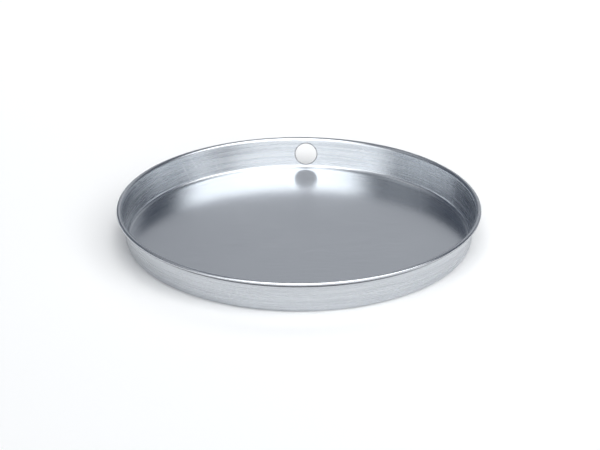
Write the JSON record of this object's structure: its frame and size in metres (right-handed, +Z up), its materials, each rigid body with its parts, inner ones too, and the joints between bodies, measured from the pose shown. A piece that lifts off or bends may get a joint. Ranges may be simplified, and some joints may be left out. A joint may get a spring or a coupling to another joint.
{
  "type": "oil drain pan",
  "caption": "Round shallow drawn sheet-metal drain pan with flared wall, wire-stiffened curled rim and a punched outlet hole at mid height in the wall.",
  "frame": {"origin": "centre of the flat underside, on the surface the pan stands on", "axes": "+Z up along the pan's axis of revolution; +Y from the axis towards the outlet hole; +X to the right, seen from the side opposite the hole"},
  "size_m": [0.6604, 0.6604, 0.061],
  "materials": {
    "sheet": "satin drawn sheet, faint streaks round the wall, soft gloss on the floor",
    "wire": "galvanised drawn wire, hidden inside the curled rim"
  },
  "bodies": {
    "root": {"pan_shell": "sheet", "rim_wire": "wire"}
  },
  "joints": []
}
